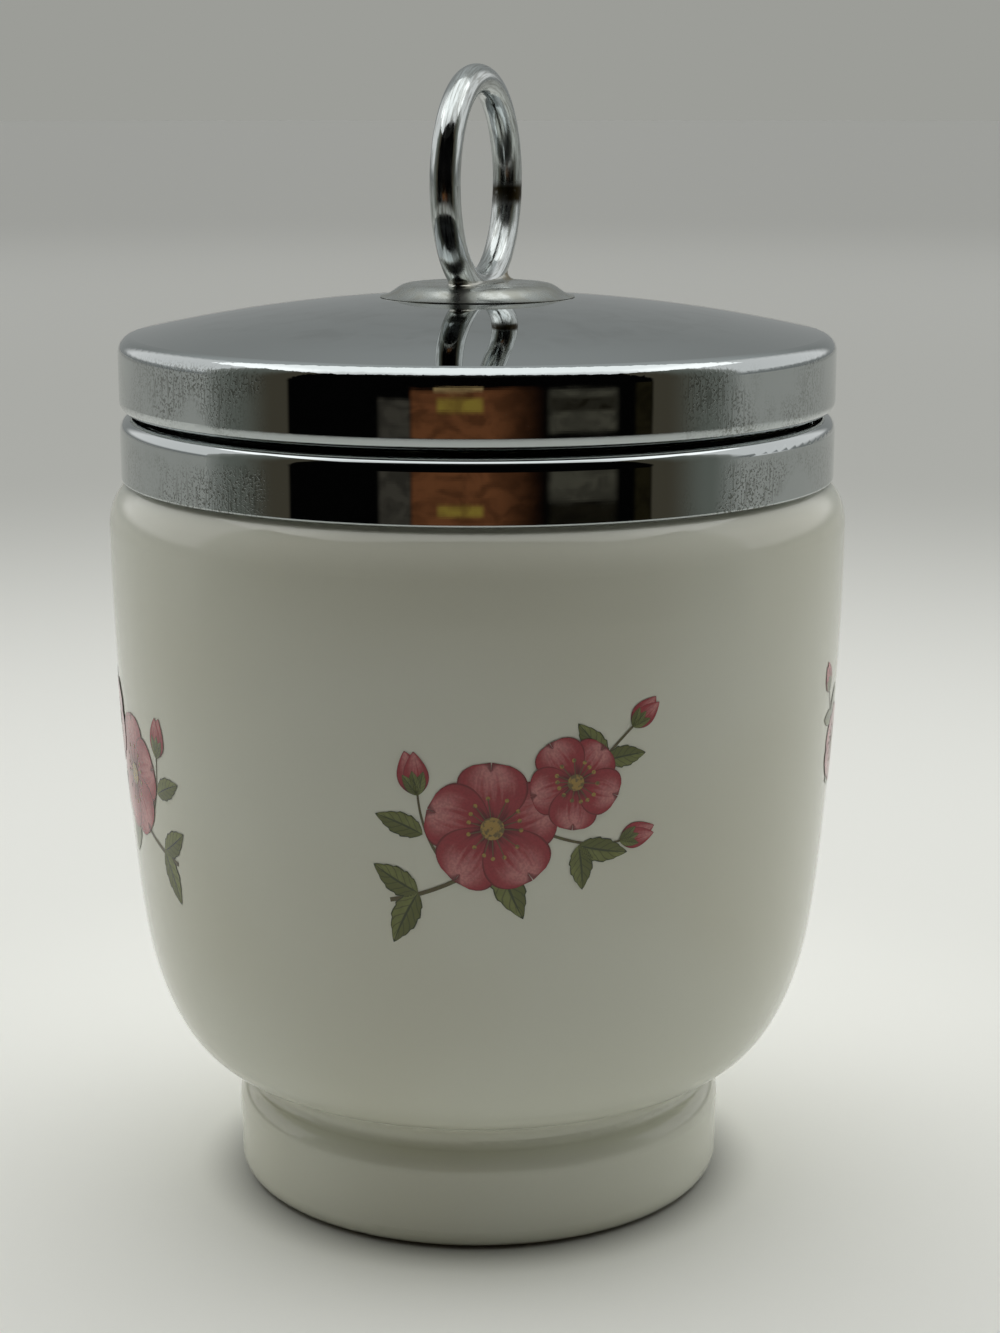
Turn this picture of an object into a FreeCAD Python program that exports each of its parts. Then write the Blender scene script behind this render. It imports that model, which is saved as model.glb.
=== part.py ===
import FreeCAD, Part
import math
import os

from FreeCAD import Placement, Rotation, Vector

# Egg coddler: a porcelain cup with a cemented screw collar and a screw-on metal lid with a lifting ring.
# Millimetres. The origin is the middle of the foot's resting plane, +Z is up, and the lid is screwed down.

# Porcelain cup. Heights are above the table, and a draw-in is how far a radius lies inside the cup's.
cup_radius = 36.3
cup_wall = 3.2
shoulder_height = 67.55
shoulder_rounding = 5.5
wall_draw_in = 0.95
wall_draw_height = 24.0
bowl_draw_in = 2.05
bowl_height = 30.75
bowl_turn_draw_in = 4.5
bowl_turn_height = 19.75
heel_draw_in = 8.9
heel_height = 13.75
waist_draw_in = 13.3
waist_height = 10.75
waist_rounding = 1.4
underside_slope = 25.0
floor_thickness = 5.0
floor_flat_radius = 15.0
neck_wall = 2.6
neck_sweep_height = 10.0
rim_flat = 0.2
rim_above_shelf = 6.35

# Foot ring under the waist.
foot_overhang = 1.75
foot_base_draw_in = 0.15
foot_shoulder_drop = 1.7
foot_shoulder_rounding = 2.4
foot_edge_rounding = 2.0
foot_bore_rounding = 0.55
foot_wall = 3.8
foot_recess_height = 7.75
groove_drop = 0.6
groove_rounding = 0.9

# Pressed metal collar, cemented round the porcelain neck.
collar_step = 1.3
collar_wall = 0.6
collar_band_height = 6.15
collar_top_rounding = 1.3
collar_lip_rounding = 0.25
collar_fold_rounding = 0.3
shelf_width = 2.4
thread_neck_drop = 0.5
porcelain_gap = 0.4
cement_bed = 0.7

# Screw thread, rolled into the collar's neck and into the lid's liner.
thread_pitch = 2.5
thread_width = 1.2
thread_depth = 0.8
thread_bite = 0.25
thread_crest_clearance = 0.3
neck_thread_start = 1.75
neck_thread_end = 1.05
liner_thread_start = 1.23

# Pressed lid shell and its threaded liner.
lid_wall = 0.6
lid_edge_gap = 0.4
lid_edge_rounding = 1.2
lid_edge_lip = 0.45
lid_shoulder_rounding = 1.6
dome_radius = 156.0
liner_wall = 0.45
liner_corner_slack = 0.05
liner_edge_rounding = 0.09
liner_flange_reach = 1.47
liner_headroom = 0.13
rim_gap = 0.25

# Finial: disc, ring, braze, rivet and washer.
disc_radius = 9.5
disc_thickness = 1.05
disc_flat_radius = 6.2
disc_edge_height = 0.06
disc_bevel_radius = 7.5
disc_bevel_drop = 0.25
disc_sweep_radius = 8.4
disc_sweep_drop = 0.85
ring_wire_radius = 1.46
ring_middle_radius = 9.82
ring_sink = 1.68
ring_turn = 17.4
braze_spread = 0.6
braze_end_spread = 1.0
braze_top_spread = 0.2
braze_height = 0.8
braze_run_down = 0.45
rivet_radius = 1.5
rivet_head_radius = 2.6
rivet_head_height = 0.7
clench_radius = 2.4
clench_height = 0.9
clench_rounding = 0.72
washer_radius = 4.0
washer_thickness = 0.6
washer_edge_rounding = 0.15

# Clearances: seated pieces of one body, a turning fit's radius, and a turning fit's end play.
seat_gap = 0.02
turning_gap = 0.03
end_play = 0.05

# How far a cutter runs past what it cuts.
cut_margin = 1.0

# Radii that follow from the sizes above, from the cup's wall in to its mouth.
collar_radius = cup_radius - collar_step
ledge_radius = collar_radius - collar_wall - porcelain_gap / 2
thread_neck_radius = collar_radius - shelf_width
neck_radius = thread_neck_radius - collar_wall - cement_bed
mouth_radius = neck_radius - neck_wall
rim_rounding = (neck_wall - rim_flat) / 2
waist_radius = cup_radius - waist_draw_in
foot_radius = waist_radius + foot_overhang
foot_base_radius = foot_radius - foot_base_draw_in
foot_bore_radius = foot_base_radius - foot_wall
lid_inner_radius = collar_radius - lid_wall
liner_radius = lid_inner_radius - seat_gap
liner_bore_radius = liner_radius - liner_wall
liner_crest_radius = thread_neck_radius + thread_crest_clearance
liner_corner_rounding = lid_shoulder_rounding - lid_wall - liner_corner_slack

# Heights that follow, from the ledge under the collar up to the lid.
ledge_run = shoulder_rounding - (cup_radius - ledge_radius)
ledge_height = shoulder_height + math.sqrt(shoulder_rounding**2 - ledge_run**2)
shelf_height = ledge_height + collar_band_height
rim_height = shelf_height + rim_above_shelf
neck_top_height = rim_height - thread_neck_drop
floor_height = foot_recess_height + floor_thickness
lid_bottom_height = shelf_height + lid_edge_gap
liner_bottom_height = lid_bottom_height + lid_wall + seat_gap
liner_top_height = rim_height + rim_gap + liner_wall
neck_thread_low = shelf_height + neck_thread_start
thread_high = neck_top_height - neck_thread_end
liner_thread_low = liner_bottom_height + liner_thread_start


def dome_drop(radius):
    """How far the lid's dome lies below its middle at this radius."""
    return dome_radius - math.sqrt(dome_radius**2 - radius**2)


# Heights of the lid's top and of what stands on it and hangs under it.
liner_shoulder_drop = dome_drop(liner_radius - liner_corner_rounding)
lid_top_height = liner_top_height + liner_headroom + lid_wall + liner_shoulder_drop
disc_top_height = lid_top_height + disc_thickness
ring_outer_radius = ring_middle_radius + ring_wire_radius
ring_middle_height = disc_top_height - ring_sink + ring_outer_radius
rivet_head_top = disc_top_height - end_play
washer_top_height = lid_top_height - lid_wall - dome_drop(washer_radius) - end_play


def at(radius, height):
    """A point of a turned section: radius from the axis, and height."""
    return Vector(radius, 0, height)


def line(start, end):
    return Part.makeLine(start, end)


def arc(start, middle, end):
    return Part.Arc(start, middle, end).toShape()


def arc_about(centre, start, end):
    """The shorter arc from start to end about a centre."""
    halfway = (start - centre + end - centre).normalize()
    return arc(start, centre + halfway * (start - centre).Length, end)


def turned(edges):
    """Solid of revolution about the Z axis from the edges of a closed section."""
    section = Part.Face(Part.Wire(Part.__sortEdges__(edges)))
    return section.revolve(Vector(0, 0, 0), Vector(0, 0, 1), 360)


def rounded_section(corners):
    """Edges of a closed section through (radius, height, rounding) corners."""
    count = len(corners)
    rounds = []
    for index, (radius, height, rounding) in enumerate(corners):
        here = at(radius, height)
        to_last = (at(*corners[index - 1][:2]) - here).normalize()
        to_next = (at(*corners[(index + 1) % count][:2]) - here).normalize()
        half_angle = to_last.getAngle(to_next) / 2
        reach = rounding / math.tan(half_angle)
        inward = (to_last + to_next).normalize()
        middle = here + inward * (rounding / math.sin(half_angle) - rounding)
        rounds.append((here + to_last * reach, middle, here + to_next * reach, rounding))
    edges = []
    for index, (start, middle, end, rounding) in enumerate(rounds):
        if rounding > 0:
            edges.append(arc(start, middle, end))
        next_start = rounds[(index + 1) % count][0]
        if (next_start - end).Length > 1e-6:
            edges.append(line(end, next_start))
    return edges


def smooth_curve(points, first_direction, last_direction):
    """Spline edge through the points, leaving and arriving in the given directions."""
    along = [0.0]
    for last, here in zip(points, points[1:]):
        along.append(along[-1] + (here - last).Length)
    curve = Part.BSplineCurve()
    curve.interpolate(
        Points=points,
        Parameters=along,
        InitialTangent=first_direction,
        FinalTangent=last_direction,
        Scale=False,
    )
    return curve.toShape()


def inset(points, distance):
    """The points between an upward outline's ends, moved towards the axis, square to the outline."""
    moved = []
    for before, here, after in zip(points, points[1:], points[2:]):
        along = (after - before).normalize()
        moved.append(here + Vector(-along.z, 0, along.x) * distance)
    return moved


def make_foot():
    """Foot ring with its hollow, and the floor of the cup that it carries, up to the waist."""
    corners = [
        (foot_bore_radius, 0, foot_bore_rounding),
        (foot_base_radius, 0, foot_edge_rounding),
        (foot_radius, waist_height - foot_shoulder_drop, foot_shoulder_rounding),
        (waist_radius, waist_height - groove_drop, groove_rounding),
        (waist_radius, waist_height, 0),
        (0, waist_height, 0),
        (0, foot_recess_height, 0),
        (foot_bore_radius, foot_recess_height, waist_rounding),
    ]
    return turned(rounded_section(corners))


def make_porcelain_cup():
    """Slip-cast cup: foot ring, waist, bowl, shoulder, and a neck that stays inside the collar."""
    up = Vector(0, 0, 1)
    outward = Vector(1, 0, 0)
    slope = math.radians(underside_slope)
    waist = at(waist_radius, waist_height)
    waist_middle = at(waist_radius + waist_rounding, waist_height)
    wall_points = [
        waist_middle + at(-math.sin(slope), math.cos(slope)) * waist_rounding,
        at(cup_radius - heel_draw_in, heel_height),
        at(cup_radius - bowl_turn_draw_in, bowl_turn_height),
        at(cup_radius - bowl_draw_in, bowl_height),
        at(cup_radius - wall_draw_in, shoulder_height - wall_draw_height),
        at(cup_radius, shoulder_height),
    ]
    shoulder_middle = at(cup_radius - shoulder_rounding, shoulder_height)
    ledge = at(ledge_radius, ledge_height)
    neck_foot = at(neck_radius, ledge_height)

    rim_edge_height = rim_height - rim_rounding
    rim_outside = at(neck_radius, rim_edge_height)
    rim_top_outside = at(neck_radius - rim_rounding, rim_height)
    rim_top_inside = at(mouth_radius + rim_rounding, rim_height)
    rim_inside = at(mouth_radius, rim_edge_height)

    mouth_foot = at(mouth_radius, ledge_height)
    inner_shoulder = at(cup_radius - cup_wall, ledge_height - neck_sweep_height)
    floor_edge = at(floor_flat_radius, floor_height)
    inner_points = [floor_edge] + inset(wall_points, cup_wall)[1:] + [inner_shoulder]
    edges = [
        line(at(0, waist_height), waist),
        arc_about(waist_middle, waist, wall_points[0]),
        smooth_curve(wall_points, at(math.cos(slope), math.sin(slope)), up),
        arc_about(shoulder_middle, wall_points[-1], ledge),
        line(ledge, neck_foot),
        line(neck_foot, rim_outside),
        arc_about(at(neck_radius - rim_rounding, rim_edge_height), rim_outside, rim_top_outside),
        line(rim_top_outside, rim_top_inside),
        arc_about(at(mouth_radius + rim_rounding, rim_edge_height), rim_top_inside, rim_inside),
        line(rim_inside, mouth_foot),
        smooth_curve([inner_shoulder, mouth_foot], up, up),
        smooth_curve(inner_points, outward, up),
        line(floor_edge, at(0, floor_height)),
        line(at(0, floor_height), at(0, waist_height)),
    ]
    return turned(edges).fuse(make_foot()).removeSplitter()


def make_collar_cement():
    """Cement bed that fills the space between the porcelain neck and the collar."""
    inner = neck_radius + seat_gap
    band = collar_radius - collar_wall - seat_gap
    neck = thread_neck_radius - collar_wall - seat_gap
    bottom = ledge_height + seat_gap
    under_shelf = shelf_height - collar_wall - seat_gap
    fold = collar_top_rounding - collar_wall
    corners = [
        (inner, bottom, 0),
        (ledge_radius, bottom, 0),
        (band, bottom + porcelain_gap, 0),
        (band, under_shelf - fold, 0),
        (band - fold, under_shelf, 0),
        (neck, under_shelf, 0),
        (neck, neck_top_height - collar_wall, 0),
        (inner, neck_top_height - collar_wall, 0),
    ]
    return turned(rounded_section(corners))


def bead_section(root_radius, crest_radius):
    """Round thread bead at the height zero, closed inside its wall by the bite, as a face."""
    outward = math.copysign(1, crest_radius - root_radius)
    depth = abs(crest_radius - root_radius)
    round_radius = ((thread_width / 2) ** 2 + depth**2) / (2 * depth)
    bite_radius = root_radius - outward * thread_bite
    centre_radius = crest_radius - outward * round_radius
    half = math.sqrt(round_radius**2 - (bite_radius - centre_radius) ** 2)
    low = at(bite_radius, -half)
    high = at(bite_radius, half)
    return Part.Face(Part.Wire([arc(low, at(crest_radius, 0), high), line(high, low)]))


def with_thread(wall, root_radius, crest_radius, low, high, start_turn):
    """The wall with a helical bead of rounded ends, from low to high, its start turned about +Z."""
    turns = (high - low) / thread_pitch
    section = bead_section(root_radius, crest_radius)
    helix = Part.makeHelix(thread_pitch, high - low, root_radius)
    bead = Part.Wire(helix.Edges).makePipeShell([section.OuterWire], True, True)
    reach = 2 * root_radius
    upper_side = Part.makeBox(reach, cut_margin, reach, Vector(0, -cut_margin / 2, 0))
    upper_half = section.common(upper_side).Faces[0]
    near_end = upper_half.revolve(Vector(0, 0, 0), Vector(1, 0, 0), 180)
    far_end = upper_half.revolve(Vector(0, 0, 0), Vector(1, 0, 0), -180)
    far_end.rotate(Vector(0, 0, 0), Vector(0, 0, 1), 360 * turns)
    far_end.translate(Vector(0, 0, high - low))
    pieces = [bead, near_end, far_end]
    for piece in pieces:
        piece.rotate(Vector(0, 0, 0), Vector(0, 0, 1), 360 * start_turn)
        piece.translate(Vector(0, 0, low))
    return wall.fuse(pieces)


def make_threaded_collar():
    """Pressed collar: the bright outer band, the shelf the lid stops above, and the threaded neck."""
    wall = collar_wall
    lip_radius = neck_radius + seat_gap
    lip_bottom = neck_top_height - wall + seat_gap
    corners = [
        (collar_radius - wall, ledge_height, 0),
        (collar_radius, ledge_height, collar_lip_rounding),
        (collar_radius, shelf_height, collar_top_rounding),
        (thread_neck_radius, shelf_height, collar_fold_rounding),
        (thread_neck_radius, neck_top_height, collar_fold_rounding),
        (lip_radius, neck_top_height, 0),
        (lip_radius, lip_bottom, 0),
        (thread_neck_radius - wall, lip_bottom, 0),
        (thread_neck_radius - wall, shelf_height - wall, collar_fold_rounding),
        (collar_radius - wall, shelf_height - wall, collar_top_rounding - wall),
    ]
    neck = turned(rounded_section(corners))
    crest = thread_neck_radius + thread_depth
    return with_thread(neck, thread_neck_radius, crest, neck_thread_low, thread_high, 0)


def is_ring(edge, radius, height):
    """Whether an edge is the circle about the axis at this radius and height."""
    if edge.Degenerated or not isinstance(edge.Curve, Part.Circle):
        return False
    return abs(edge.Curve.Radius - radius) < 1e-4 and abs(edge.Curve.Center.z - height) < 1e-4


def dome_cap(radius, top_height, bottom_height, rounding):
    """Solid cap under the lid's dome, with a rounded shoulder."""
    corner = at(radius, top_height - dome_drop(radius))
    halfway = at(radius / 2, top_height - dome_drop(radius / 2))
    edges = [
        line(at(0, bottom_height), at(radius, bottom_height)),
        line(at(radius, bottom_height), corner),
        arc(corner, halfway, at(0, top_height)),
        line(at(0, top_height), at(0, bottom_height)),
    ]
    cap = turned(edges)
    shoulder = [edge for edge in cap.Edges if is_ring(edge, radius, corner.z)]
    return cap.makeFillet(rounding, shoulder)


def make_lid_shell():
    """Pressed lid: dome, shoulder and skirt, with the skirt's edge rolled in under the liner."""
    outside = dome_cap(collar_radius, lid_top_height, lid_bottom_height, lid_shoulder_rounding)
    low_edge = [edge for edge in outside.Edges if is_ring(edge, collar_radius, lid_bottom_height)]
    outside = outside.makeFillet(lid_edge_rounding, low_edge)
    inside_top = lid_top_height - lid_wall
    inside_bottom = lid_bottom_height + lid_wall
    inside_rounding = lid_shoulder_rounding - lid_wall
    inside = dome_cap(lid_inner_radius, inside_top, inside_bottom, inside_rounding)
    through_wall = lid_wall + 2 * cut_margin
    lip_radius = lid_inner_radius - lid_edge_lip
    mouth = Part.makeCylinder(lip_radius, through_wall, at(0, lid_bottom_height - cut_margin))
    hole = Part.makeCylinder(rivet_radius + turning_gap, through_wall, at(0, inside_top - cut_margin))
    return outside.cut(inside).cut(mouth).cut(hole)


def make_lid_thread_ring():
    """Pressed liner that fills the skirt: female thread, and a flange that closes over the cup's rim."""
    flange_radius = neck_radius - liner_flange_reach
    flange_bottom = liner_top_height - liner_wall
    corners = [
        (liner_radius, liner_bottom_height, 0),
        (liner_radius, liner_top_height, liner_corner_rounding),
        (flange_radius, liner_top_height, liner_edge_rounding),
        (flange_radius, flange_bottom, liner_edge_rounding),
        (liner_bore_radius, flange_bottom, liner_corner_rounding - liner_wall),
        (liner_bore_radius, liner_bottom_height, 0),
    ]
    liner = turned(rounded_section(corners))
    # The bead starts half a turn out of step with the neck's, so it runs midway between its turns.
    start_turn = (liner_thread_low - neck_thread_low) / thread_pitch + 0.5
    return with_thread(
        liner, liner_bore_radius, liner_crest_radius, liner_thread_low, thread_high, start_turn
    )


def make_disc_blank():
    """The finial's disc before it is drilled: hollowed to the dome, flat above, its edge swept out."""
    seat = lid_top_height + seat_gap
    seat_halfway = at(disc_radius / 2, seat - dome_drop(disc_radius / 2))
    edge_low = at(disc_radius, seat - dome_drop(disc_radius))
    edge_high = at(disc_radius, edge_low.z + disc_edge_height)
    flat_edge = at(disc_flat_radius, disc_top_height)
    sweep = at(disc_sweep_radius, disc_top_height - disc_sweep_drop)
    bevel = at(disc_bevel_radius, disc_top_height - disc_bevel_drop)
    dome_direction = at(-1, disc_radius / dome_radius).normalize()
    edges = [
        arc(at(0, seat), seat_halfway, edge_low),
        line(edge_low, edge_high),
        smooth_curve([edge_high, sweep, bevel, flat_edge], dome_direction, at(-1, 0)),
        line(flat_edge, at(0, disc_top_height)),
        line(at(0, disc_top_height), at(0, seat)),
    ]
    return turned(edges)


def make_finial_disc():
    """Raised disc on the middle of the dome, drilled and countersunk for the rivet."""
    hole_radius = rivet_radius + turning_gap
    sink_radius = rivet_head_radius + turning_gap
    sink_bottom = at(0, rivet_head_top - rivet_head_height)
    through_disc = disc_thickness + 2 * cut_margin
    hole = Part.makeCylinder(hole_radius, through_disc, at(0, lid_top_height - cut_margin))
    countersink = Part.makeCone(hole_radius, sink_radius, rivet_head_height, sink_bottom)
    head_room = Part.makeCylinder(sink_radius, end_play + cut_margin, at(0, rivet_head_top))
    return make_disc_blank().cut(hole).cut(countersink.fuse(head_room))


def ring_torus(wire_radius):
    """The lifting ring's full torus, standing in the plane of its turn about +Z."""
    ring = Part.makeTorus(ring_middle_radius, wire_radius, Vector(0, 0, 0), Vector(1, 0, 0))
    ring.Placement = Placement(Vector(0, 0, ring_middle_height), Rotation(Vector(0, 0, 1), -ring_turn))
    return ring


def make_lift_ring():
    """Wire ring, with its foot ground flat to stand on the disc."""
    reach = 2 * ring_outer_radius
    corner = Vector(-reach, -reach, disc_top_height + seat_gap - reach)
    ground = Part.makeBox(2 * reach, 2 * reach, reach, corner)
    return ring_torus(ring_wire_radius).cut(ground)


def stadium(half_length, half_width, height):
    """Wire of two half circles and two lines, long in the ring's plane before its turn."""
    straight = half_length - half_width
    edges = [
        arc(
            Vector(half_width, straight, height),
            Vector(0, half_length, height),
            Vector(-half_width, straight, height),
        ),
        line(Vector(-half_width, straight, height), Vector(-half_width, -straight, height)),
        arc(
            Vector(-half_width, -straight, height),
            Vector(0, -half_length, height),
            Vector(half_width, -straight, height),
        ),
        line(Vector(half_width, -straight, height), Vector(half_width, straight, height)),
    ]
    return Part.Wire(edges)


def ring_half_length(height):
    """Half the length, in the ring's plane, that the ring's outside spans at this height."""
    return math.sqrt(ring_outer_radius**2 - (ring_middle_height - height) ** 2)


def make_ring_braze():
    """Braze fillet round the ring's foot: wide where it runs down onto the disc, narrow at its top."""
    bottom = disc_top_height + seat_gap - braze_run_down
    top = disc_top_height + seat_gap + braze_height
    foot_half_length = ring_half_length(disc_top_height + seat_gap) + braze_end_spread
    top_half_length = ring_half_length(top) + braze_top_spread
    foot = stadium(foot_half_length, ring_wire_radius + braze_spread, bottom)
    crown = stadium(top_half_length, ring_wire_radius + braze_top_spread, top)
    fillet = Part.makeLoft([foot, crown], True, True)
    fillet.rotate(Vector(0, 0, 0), Vector(0, 0, 1), -ring_turn)
    disc = make_disc_blank()
    disc.translate(Vector(0, 0, seat_gap))
    return fillet.cut(ring_torus(ring_wire_radius + seat_gap)).cut(disc)


def make_finial_rivet():
    """Rivet through disc, lid and washer: countersunk head above, clenched end below."""
    head_bottom = rivet_head_top - rivet_head_height
    clench_top = washer_top_height - washer_thickness - seat_gap
    clench_bottom = clench_top - clench_height
    head = Part.makeCone(rivet_radius, rivet_head_radius, rivet_head_height, at(0, head_bottom))
    shank = Part.makeCylinder(rivet_radius, head_bottom - clench_top, at(0, clench_top))
    clench_corners = [
        (0, clench_top, 0),
        (clench_radius, clench_top, 0),
        (clench_radius, clench_bottom, clench_rounding),
        (0, clench_bottom, 0),
    ]
    return head.fuse(shank).fuse(turned(rounded_section(clench_corners)))


def make_rivet_washer():
    """Flat washer between the lid's inside and the rivet's clenched end."""
    bore = rivet_radius + seat_gap
    bottom = washer_top_height - washer_thickness
    corners = [
        (bore, washer_top_height, 0),
        (washer_radius, washer_top_height, washer_edge_rounding),
        (washer_radius, bottom, washer_edge_rounding),
        (bore, bottom, 0),
    ]
    return turned(rounded_section(corners))


nodes = {
    "porcelain_cup": make_porcelain_cup,
    "collar_cement": make_collar_cement,
    "threaded_collar": make_threaded_collar,
    "lid_shell": make_lid_shell,
    "lid_thread_ring": make_lid_thread_ring,
    "finial_disc": make_finial_disc,
    "lift_ring": make_lift_ring,
    "ring_braze": make_ring_braze,
    "finial_rivet": make_finial_rivet,
    "rivet_washer": make_rivet_washer,
}

os.makedirs("parts", exist_ok=True)
for node, make in nodes.items():
    shape = make()
    shape.exportStep(f"parts/{node}.step")
    box = shape.BoundBox
    print(
        f"{node}: {len(shape.Solids)} solid, valid {shape.isValid()}, {shape.Volume:.1f} mm3,"
        f" radius {box.XMax:.2f}, height {box.ZMin:.2f} to {box.ZMax:.2f}"
    )
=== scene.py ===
import math

import bpy
import numpy as np
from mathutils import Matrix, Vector


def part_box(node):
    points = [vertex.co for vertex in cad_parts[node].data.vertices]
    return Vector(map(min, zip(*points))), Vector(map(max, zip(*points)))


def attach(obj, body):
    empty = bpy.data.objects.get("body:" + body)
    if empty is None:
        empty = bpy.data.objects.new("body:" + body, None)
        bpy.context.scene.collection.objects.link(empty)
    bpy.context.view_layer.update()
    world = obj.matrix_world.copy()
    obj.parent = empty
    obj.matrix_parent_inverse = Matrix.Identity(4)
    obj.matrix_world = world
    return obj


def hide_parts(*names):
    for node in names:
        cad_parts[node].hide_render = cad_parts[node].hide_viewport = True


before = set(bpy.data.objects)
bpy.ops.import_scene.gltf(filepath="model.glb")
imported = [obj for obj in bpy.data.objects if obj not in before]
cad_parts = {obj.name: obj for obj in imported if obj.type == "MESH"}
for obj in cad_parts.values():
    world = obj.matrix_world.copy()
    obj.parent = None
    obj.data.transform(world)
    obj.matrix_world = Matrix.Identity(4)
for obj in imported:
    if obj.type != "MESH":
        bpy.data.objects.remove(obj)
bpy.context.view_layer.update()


# ---------------------------------------------------------------------------------------------
# Porcelain cup. Slip-cast hard porcelain, fired white, dipped in clear glaze and fired again.
# The resting edge of the foot is wiped bare first, so that it doesn't fuse to the kiln shelf.

# The scene is in metres, and the object's sizes are given in millimetres.
MM = 0.001

# Settings that many nodes share. A SMOOTH MapRange takes, in order, a value, the two ends that it
# runs between and what it gives at each. A Mix of COLOURS takes a share at input 0, the colour
# below at 6 and the colour laid over it at 7.
SMOOTH = {"interpolation_type": "SMOOTHSTEP"}
COLOURS = {"data_type": "RGBA"}


def srgb(code):
    """A hex colour as the linear colour that a shader takes."""
    parts = [int(code[i:i + 2], 16) / 255 for i in (1, 3, 5)]
    return [p / 12.92 if p <= 0.04045 else ((p + 0.055) / 1.055) ** 2.4 for p in parts] + [1.0]


def grain(size_mm):
    """The scale of a pattern whose marks are about this many millimetres across."""
    return 1 / (size_mm * MM)


def feed(node, inputs):
    """Gives each input of a node its value, or links it to the node or socket named there."""
    for key, value in inputs.items():
        if isinstance(value, bpy.types.Node):
            value = next(socket for socket in value.outputs if socket.enabled)
        if isinstance(value, bpy.types.NodeSocket):
            node.id_data.links.new(value, node.inputs[key])
        else:
            node.inputs[key].default_value = value


def add(tree, kind, inputs=(), **settings):
    """Adds a node with its settings and links. Its inputs are named, or listed in their order."""
    node = tree.nodes.new("ShaderNode" + kind)
    for name, value in settings.items():
        setattr(node, name, value)
    feed(node, inputs if isinstance(inputs, dict) else dict(enumerate(inputs)))
    return node


def finish_of(name, **constants):
    """A new material: its node tree, and its shader with the constants set on it."""
    material = bpy.data.materials.new(name)
    material.use_nodes = True
    shader = material.node_tree.nodes["Principled BSDF"]
    feed(shader, {key.replace("_", " "): value for key, value in constants.items()})
    return material, material.node_tree, shader


def dress(node_name, material):
    """Gives a CAD node its finish."""
    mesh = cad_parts[node_name].data
    mesh.materials.clear()
    mesh.materials.append(material)


PORCELAIN = "#D5D5C5"
PORCELAIN_THIN = "#D9DACC"
COLLAR_SHADE_GREY = "#B9BDB0"
BARE_BISCUIT = "#C6BCA8"
KILN_SPECK = "#5B4A3A"
CLOUD_WIDTH, GLOSS_WIDTH, RIPPLE_WIDTH, BISCUIT_GRAIN = 26, 9, 5, 0.25
RIPPLE_DEPTH, BISCUIT_DEPTH = 0.012, 0.02
SPECK_SPACING = 7
COLLAR_SHADE_FOOT, COLLAR_SHADE_TOP = 70.0, 71.9
BARE_TOP, GLAZE_FOOT = 0.2, 0.5

# Glazed porcelain: a warm ivory under glass. It gives a deep even gloss with a very faint ripple,
# a painted shade of darker grey-green just under the collar, where the collar shades the shoulder,
# and a dry matt edge where the foot is bare. The biscuit's grain is under 0.1 mm; it is drawn at
# 0.25 mm, so that it shows.
glazed_porcelain, tree, shader = finish_of("glazed_porcelain", IOR=1.5)
place = add(tree, "TexCoord").outputs["Object"]
height = add(tree, "SeparateXYZ", [place]).outputs["Z"]
cloud = add(tree, "TexNoise", {"Vector": place, "Scale": grain(CLOUD_WIDTH), "Detail": 1})
thinned = add(tree, "MapRange", [cloud, 0.35, 0.65, 0, 1], **SMOOTH)
body = add(tree, "Mix", {0: thinned, 6: srgb(PORCELAIN), 7: srgb(PORCELAIN_THIN)}, **COLOURS)
# Painted shade: the porcelain is painted a darker grey-green towards the collar's lower edge.
painted_collar_shade = add(tree, "MapRange", [height, COLLAR_SHADE_FOOT * MM, COLLAR_SHADE_TOP * MM, 0, 0.5], **SMOOTH)
collar_shaded = add(tree, "Mix", {0: painted_collar_shade, 6: body, 7: srgb(COLLAR_SHADE_GREY)}, **COLOURS)
cells = add(tree, "TexVoronoi", {"Vector": place, "Scale": grain(SPECK_SPACING)})
in_middle = add(tree, "MapRange", [cells.outputs["Distance"], 0.018, 0.034, 1, 0], **SMOOTH)
cell_draw = add(tree, "SeparateColor", [cells.outputs["Color"]]).outputs[0]
rare = add(tree, "MapRange", [cell_draw, 0.955, 0.965, 0, 0.75], **SMOOTH)
speck = add(tree, "Math", [in_middle, rare], operation="MULTIPLY")
specked = add(tree, "Mix", {0: speck, 6: collar_shaded, 7: srgb(KILN_SPECK)}, **COLOURS)
bare = add(tree, "MapRange", [height, BARE_TOP * MM, GLAZE_FOOT * MM, 1, 0], **SMOOTH)
colour = add(tree, "Mix", {0: bare, 6: specked, 7: srgb(BARE_BISCUIT)}, **COLOURS)
gloss_cloud = add(tree, "TexNoise", {"Vector": place, "Scale": grain(GLOSS_WIDTH)})
gloss = add(tree, "MapRange", [gloss_cloud, 0.3, 0.7, 0.02, 0.045], **SMOOTH)
matt = add(tree, "Math", [bare, 0.75], operation="MULTIPLY")
roughness = add(tree, "Math", [gloss, matt], operation="MAXIMUM")
wave = add(tree, "TexNoise", {"Vector": place, "Scale": grain(RIPPLE_WIDTH), "Detail": 1})
ripple = add(tree, "Bump", {"Height": wave, "Distance": RIPPLE_DEPTH * MM})
grit = add(tree, "TexNoise", {"Vector": place, "Scale": grain(BISCUIT_GRAIN)})
bare_grit = add(tree, "Math", [grit, bare], operation="MULTIPLY")
skin = add(tree, "Bump", {
    "Height": bare_grit, "Distance": BISCUIT_DEPTH * MM, "Normal": ripple})
feed(shader, {"Base Color": colour, "Roughness": roughness, "Normal": skin})
dress("porcelain_cup", glazed_porcelain)


# ---------------------------------------------------------------------------------------------
# Floral transfers. Overglaze enamels printed on a film, slid on to the glazed cup and fired until
# they sink into the glaze. They are a few hundredths of a millimetre proud and nearly as glossy.

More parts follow.
